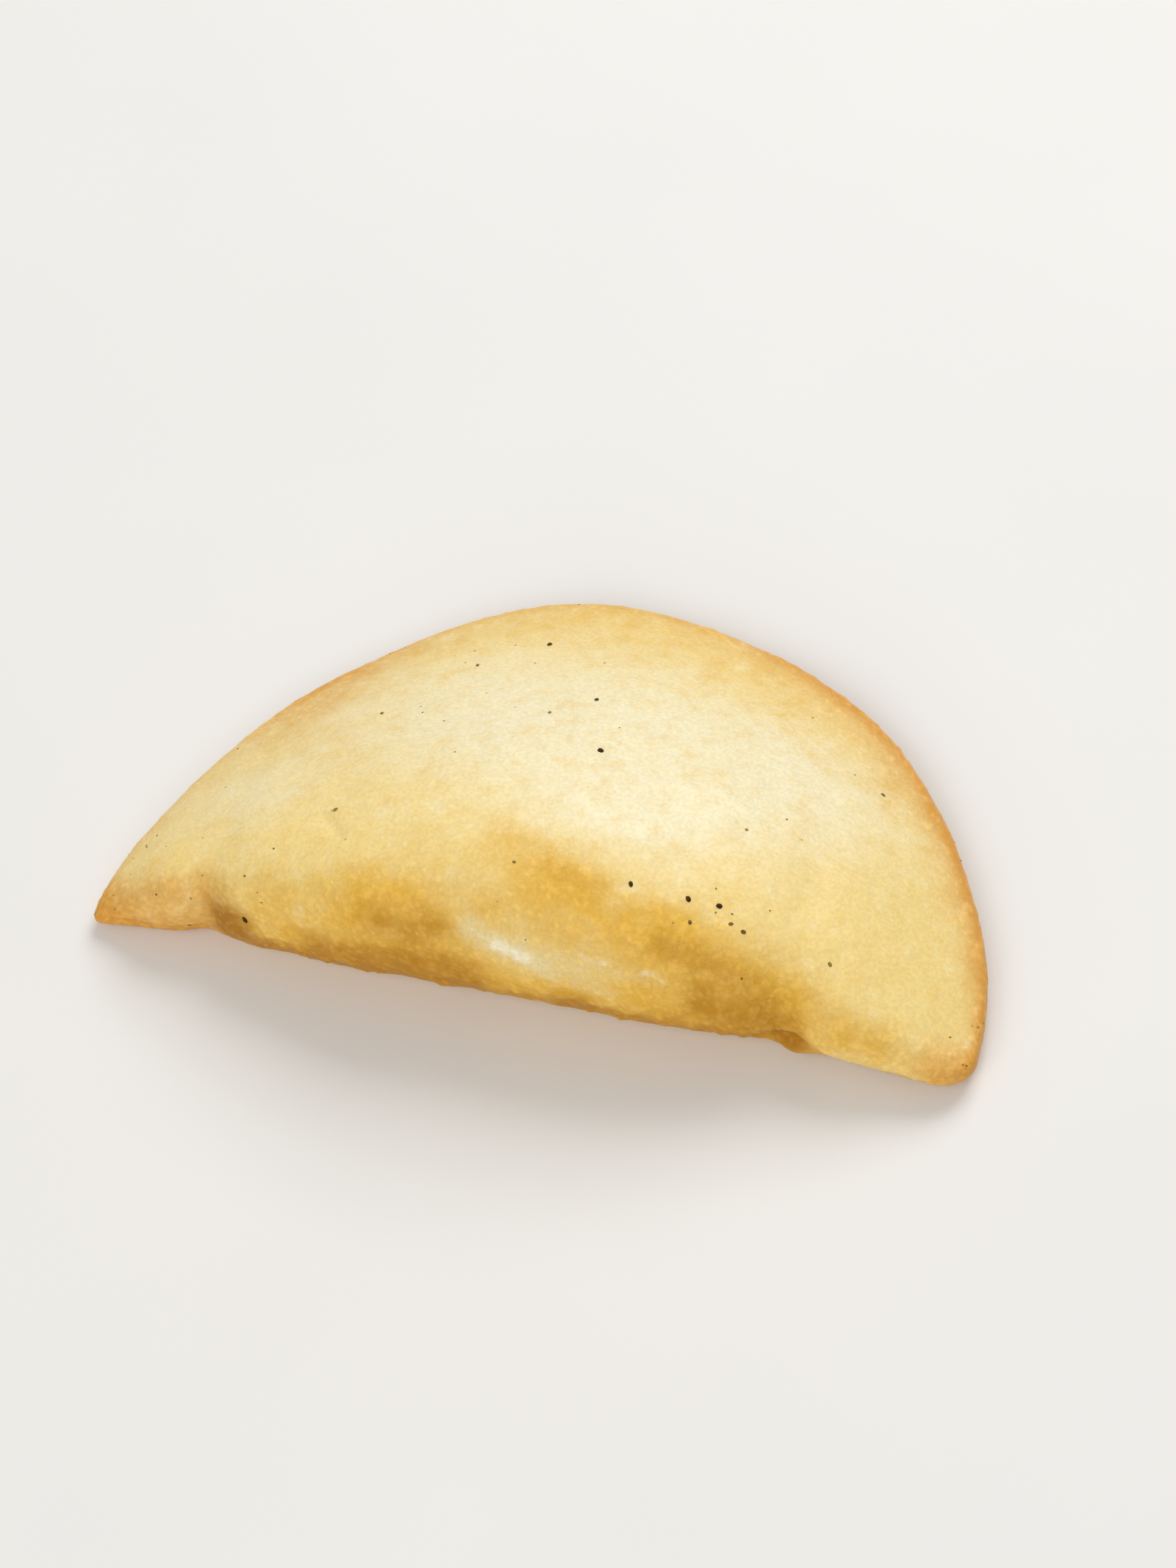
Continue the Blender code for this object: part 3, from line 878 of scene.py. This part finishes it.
class Shader:
    """Short ways to add nodes to a material."""

    def __init__(self, name):
        self.material = bpy.data.materials.new(name)
        self.material.use_nodes = True
        self.tree = self.material.node_tree
        self.surface = self.tree.nodes["Principled BSDF"]
        self.place = self.tree.nodes.new("ShaderNodeTexCoord").outputs["Object"]

    def plug(self, socket, value):
        """Link an output, or set a plain value."""
        if isinstance(value, bpy.types.NodeSocket):
            self.tree.links.new(value, socket)
        else:
            socket.default_value = value

    def field(self, name):
        """A field stored on the mesh."""
        node = self.tree.nodes.new("ShaderNodeAttribute")
        node.attribute_name = name
        return node.outputs["Fac"]

    def noise(self, size, detail=2.0, roughness=0.5, distortion=0.0):
        """Noise from 0 to 1 with lumps of a size in metres."""
        node = self.tree.nodes.new("ShaderNodeTexNoise")
        self.plug(node.inputs["Vector"], self.place)
        node.inputs["Scale"].default_value = 1.0 / size
        node.inputs["Detail"].default_value = detail
        node.inputs["Roughness"].default_value = roughness
        node.inputs["Distortion"].default_value = distortion
        return node.outputs["Fac"]

    def cells(self, size):
        """Distance from the nearest of scattered points, in cells of a size in metres."""
        node = self.tree.nodes.new("ShaderNodeTexVoronoi")
        self.plug(node.inputs["Vector"], self.place)
        node.inputs["Scale"].default_value = 1.0 / size
        return node.outputs["Distance"]

    def math(self, operation, first, second=0.0, third=0.0):
        """One arithmetic step."""
        node = self.tree.nodes.new("ShaderNodeMath")
        node.operation = operation
        for socket, value in zip(node.inputs, (first, second, third)):
            self.plug(socket, value)
        return node.outputs["Value"]

    def spread(self, value, low, high, to_low=0.0, to_high=1.0):
        """Ease a value from one range into another."""
        node = self.tree.nodes.new("ShaderNodeMapRange")
        node.interpolation_type = "SMOOTHSTEP"
        for name, amount in (
            ("Value", value), ("From Min", low), ("From Max", high),
            ("To Min", to_low), ("To Max", to_high),
        ):
            self.plug(node.inputs[name], amount)
        return node.outputs["Result"]

    def mix(self, share, first, second):
        """Blend two colours."""
        node = self.tree.nodes.new("ShaderNodeMix")
        node.data_type = "RGBA"
        self.plug(node.inputs[MIX_SHARE], share)
        self.plug(node.inputs[MIX_FIRST], first)
        self.plug(node.inputs[MIX_SECOND], second)
        return node.outputs[MIX_RESULT]

    def shade(self, color, value, low, high):
        """Darken or brighten a colour as a value goes from 0 to 1."""
        node = self.tree.nodes.new("ShaderNodeMix")
        node.data_type = "RGBA"
        node.blend_type = "MULTIPLY"
        node.inputs[MIX_SHARE].default_value = 1.0
        grey = self.tree.nodes.new("ShaderNodeCombineColor")
        amount = self.spread(value, *SHADE_RANGE, low, high)
        for socket in grey.inputs:
            self.plug(socket, amount)
        self.plug(node.inputs[MIX_FIRST], color)
        self.plug(node.inputs[MIX_SECOND], grey.outputs["Color"])
        return node.outputs[MIX_RESULT]

    def broken(self, name, rough_edge, amount, low, high):
        """A stored field whose edge is broken up by noise."""
        uneven = self.math("MULTIPLY_ADD", rough_edge, amount, -0.5 * amount)
        return self.spread(self.math("ADD", self.field(name), uneven), low, high)

    def lay(self, color, layers, noises):
        """Lay stored fields over a colour, each in a colour of its own."""
        for name, edge, amount, low, high, tint in layers:
            share = self.broken(name, noises[edge], amount, low, high)
            color = self.mix(share, color, tint)
        return color


def crust_material():
    """Fried dough: cream on top, amber down the fold, toasted at the rim and the ears; painted
    shade and highlights.
    """
    shader = Shader("fried_dough")
    noises = {name: shader.noise(*settings) for name, settings in NOISES.items()}
    bubble = shader.field("bubble")

    color = shader.mix(shader.broken("cream_and_highlight", noises["broad"], *CREAM_EDGE), GOLDEN, CREAM)
    for name, low, high, most, tint in MOTTLES:
        color = shader.mix(shader.spread(noises[name], low, high, 0.0, most), color, tint)
    color = shader.lay(color, BROWNING_AND_SHADE, noises)
    color = shader.mix(shader.spread(noises["fine"], *FINE_FLECKS), color, AMBER)
    color = shader.mix(shader.spread(bubble, *BUBBLE_TOPS), color, GOLDEN)
    color = shader.shade(color, bubble, *BUBBLE_SHADE)
    color = shader.lay(color, MISSING_SKIN_AND_HIGHLIGHTS, noises)
    color = shader.shade(color, noises["grain"], *GRAIN_SHADE)
    shader.plug(shader.surface.inputs["Base Color"], color)

    gloss = shader.spread(noises["glossy"], *NOISE_RANGE, *ROUGHNESS_RANGE)
    gloss = shader.math("ADD", gloss, shader.math("MULTIPLY", shader.field("tear"), TEAR_GLOSS))
    shader.plug(shader.surface.inputs["Roughness"], gloss)
    shader.surface.inputs["Specular IOR Level"].default_value = CRUST_SPECULAR
    shader.surface.inputs["Subsurface Weight"].default_value = SUBSURFACE_WEIGHT
    shader.surface.inputs["Subsurface Scale"].default_value = SUBSURFACE_SCALE
    shader.surface.inputs["Subsurface Radius"].default_value = SUBSURFACE_RADIUS

    pinheads = shader.spread(shader.cells(PINHEAD_SIZE), *PINHEAD_RANGE)
    pinheads = shader.math("MULTIPLY", pinheads, shader.field("blister"))
    height = shader.math("MULTIPLY", noises["fine"], FINE_HEIGHT)
    height = shader.math("MULTIPLY_ADD", pinheads, PINHEAD_HEIGHT, height)
    height = shader.math("MULTIPLY_ADD", noises["grain"], GRAIN_HEIGHT, height)
    wavy = shader.math("MULTIPLY", noises["wavy"], shader.field("amber"))
    height = shader.math("MULTIPLY_ADD", wavy, WAVY_HEIGHT, height)
    bump = shader.tree.nodes.new("ShaderNodeBump")
    bump.inputs["Strength"].default_value = BUMP_STRENGTH
    bump.inputs["Distance"].default_value = BUMP_DISTANCE
    shader.plug(bump.inputs["Height"], height)
    shader.plug(shader.surface.inputs["Normal"], bump.outputs["Normal"])
    return shader.material


def speck_material():
    """Burnt flour, from olive brown to nearly black."""
    shader = Shader("burnt_flour")
    uneven = shader.spread(shader.noise(SPECK_NOISE_SIZE), *NOISE_RANGE, *SPECK_UNEVEN)
    dark = shader.math("ADD", shader.field("char"), uneven)
    color = shader.mix(shader.spread(dark, 0.0, 1.0), SPECK_OLIVE, SPECK_BLACK)
    shader.plug(shader.surface.inputs["Base Color"], color)
    shader.surface.inputs["Roughness"].default_value = SPECK_ROUGHNESS
    shader.surface.inputs["Specular IOR Level"].default_value = SPECK_SPECULAR
    return shader.material


def floor_material():
    """Plain pale matt surface."""
    shader = Shader("pale_floor")
    color = shader.mix(shader.noise(FLOOR_NOISE_SIZE), FLOOR_DARK, FLOOR_PALE)
    shader.plug(shader.surface.inputs["Base Color"], color)
    shader.surface.inputs["Roughness"].default_value = FLOOR_ROUGHNESS
    return shader.material


# ---------------------------------------------------------------- stage, lights and camera
FLOOR_SIZE = 6.0                # places and sizes here are in metres
LAMPS = (                       # name, place, size, power in watts
    ("key", (0.12, 0.62, 0.68), 0.55, 5.2),
    ("fill", (-0.05, -0.80, 0.72), 0.9, 5.9),
)
SURROUNDINGS_STRENGTH = 0.37
CAMERA_PLACE = (0.1286, -0.2823, 0.4528)    # where the viewer's eye is
CAMERA_AIM = (0.001, 0.0, 0.009)
CAMERA_ROLL = math.radians(-9.66)
CAMERA_LENS = 100.0             # millimetres, as is the sensor's width
SENSOR_WIDTH = 36.0


def make_floor():
    """The level that the pastry lies on."""
    mesh = bmesh.new()
    bmesh.ops.create_grid(mesh, x_segments=1, y_segments=1, size=FLOOR_SIZE / 2.0)
    data = bpy.data.meshes.new("floor")
    mesh.to_mesh(data)
    mesh.free()
    data.materials.append(floor_material())
    floor = bpy.data.objects.new("floor", data)
    bpy.context.scene.collection.objects.link(floor)


def make_lamp(name, place, size, power):
    """A soft white lamp that faces the pastry."""
    light = bpy.data.lights.new(name, "AREA")
    light.size = size
    light.energy = power
    lamp = bpy.data.objects.new(name, light)
    lamp.location = place
    lamp.rotation_euler = (-Vector(place)).to_track_quat("-Z", "Y").to_euler()
    bpy.context.scene.collection.objects.link(lamp)


def make_surroundings():
    """Even white light from all round."""
    world = bpy.data.worlds.new("studio")
    world.use_nodes = True
    background = world.node_tree.nodes["Background"]
    background.inputs["Color"].default_value = (1.0, 1.0, 1.0, 1.0)
    background.inputs["Strength"].default_value = SURROUNDINGS_STRENGTH
    bpy.context.scene.world = world


def make_camera():
    """A viewer above the front right, who holds the camera slightly turned."""
    data = bpy.data.cameras.new("camera")
    data.lens = CAMERA_LENS
    data.sensor_width = SENSOR_WIDTH
    camera = bpy.data.objects.new("camera", data)
    place = Vector(CAMERA_PLACE)
    look = (Vector(CAMERA_AIM) - place).to_track_quat("-Z", "Y")
    turn = Euler((0.0, 0.0, CAMERA_ROLL)).to_quaternion()
    camera.location = place
    camera.rotation_euler = (look @ turn).to_euler()
    bpy.context.scene.collection.objects.link(camera)
    bpy.context.scene.camera = camera


def main():
    """Build the pieces, then the stage round them."""
    points, fields = surface()
    crust = make_object("empanada_crust", crust_mesh(points, fields), crust_material())
    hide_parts(NODE)
    make_object("burnt_specks", speck_mesh(points, grid_normals(points)), speck_material())

    make_floor()
    for lamp in LAMPS:
        make_lamp(*lamp)
    make_surroundings()
    make_camera()
    bpy.context.scene.view_settings.view_transform = "Standard"


main()
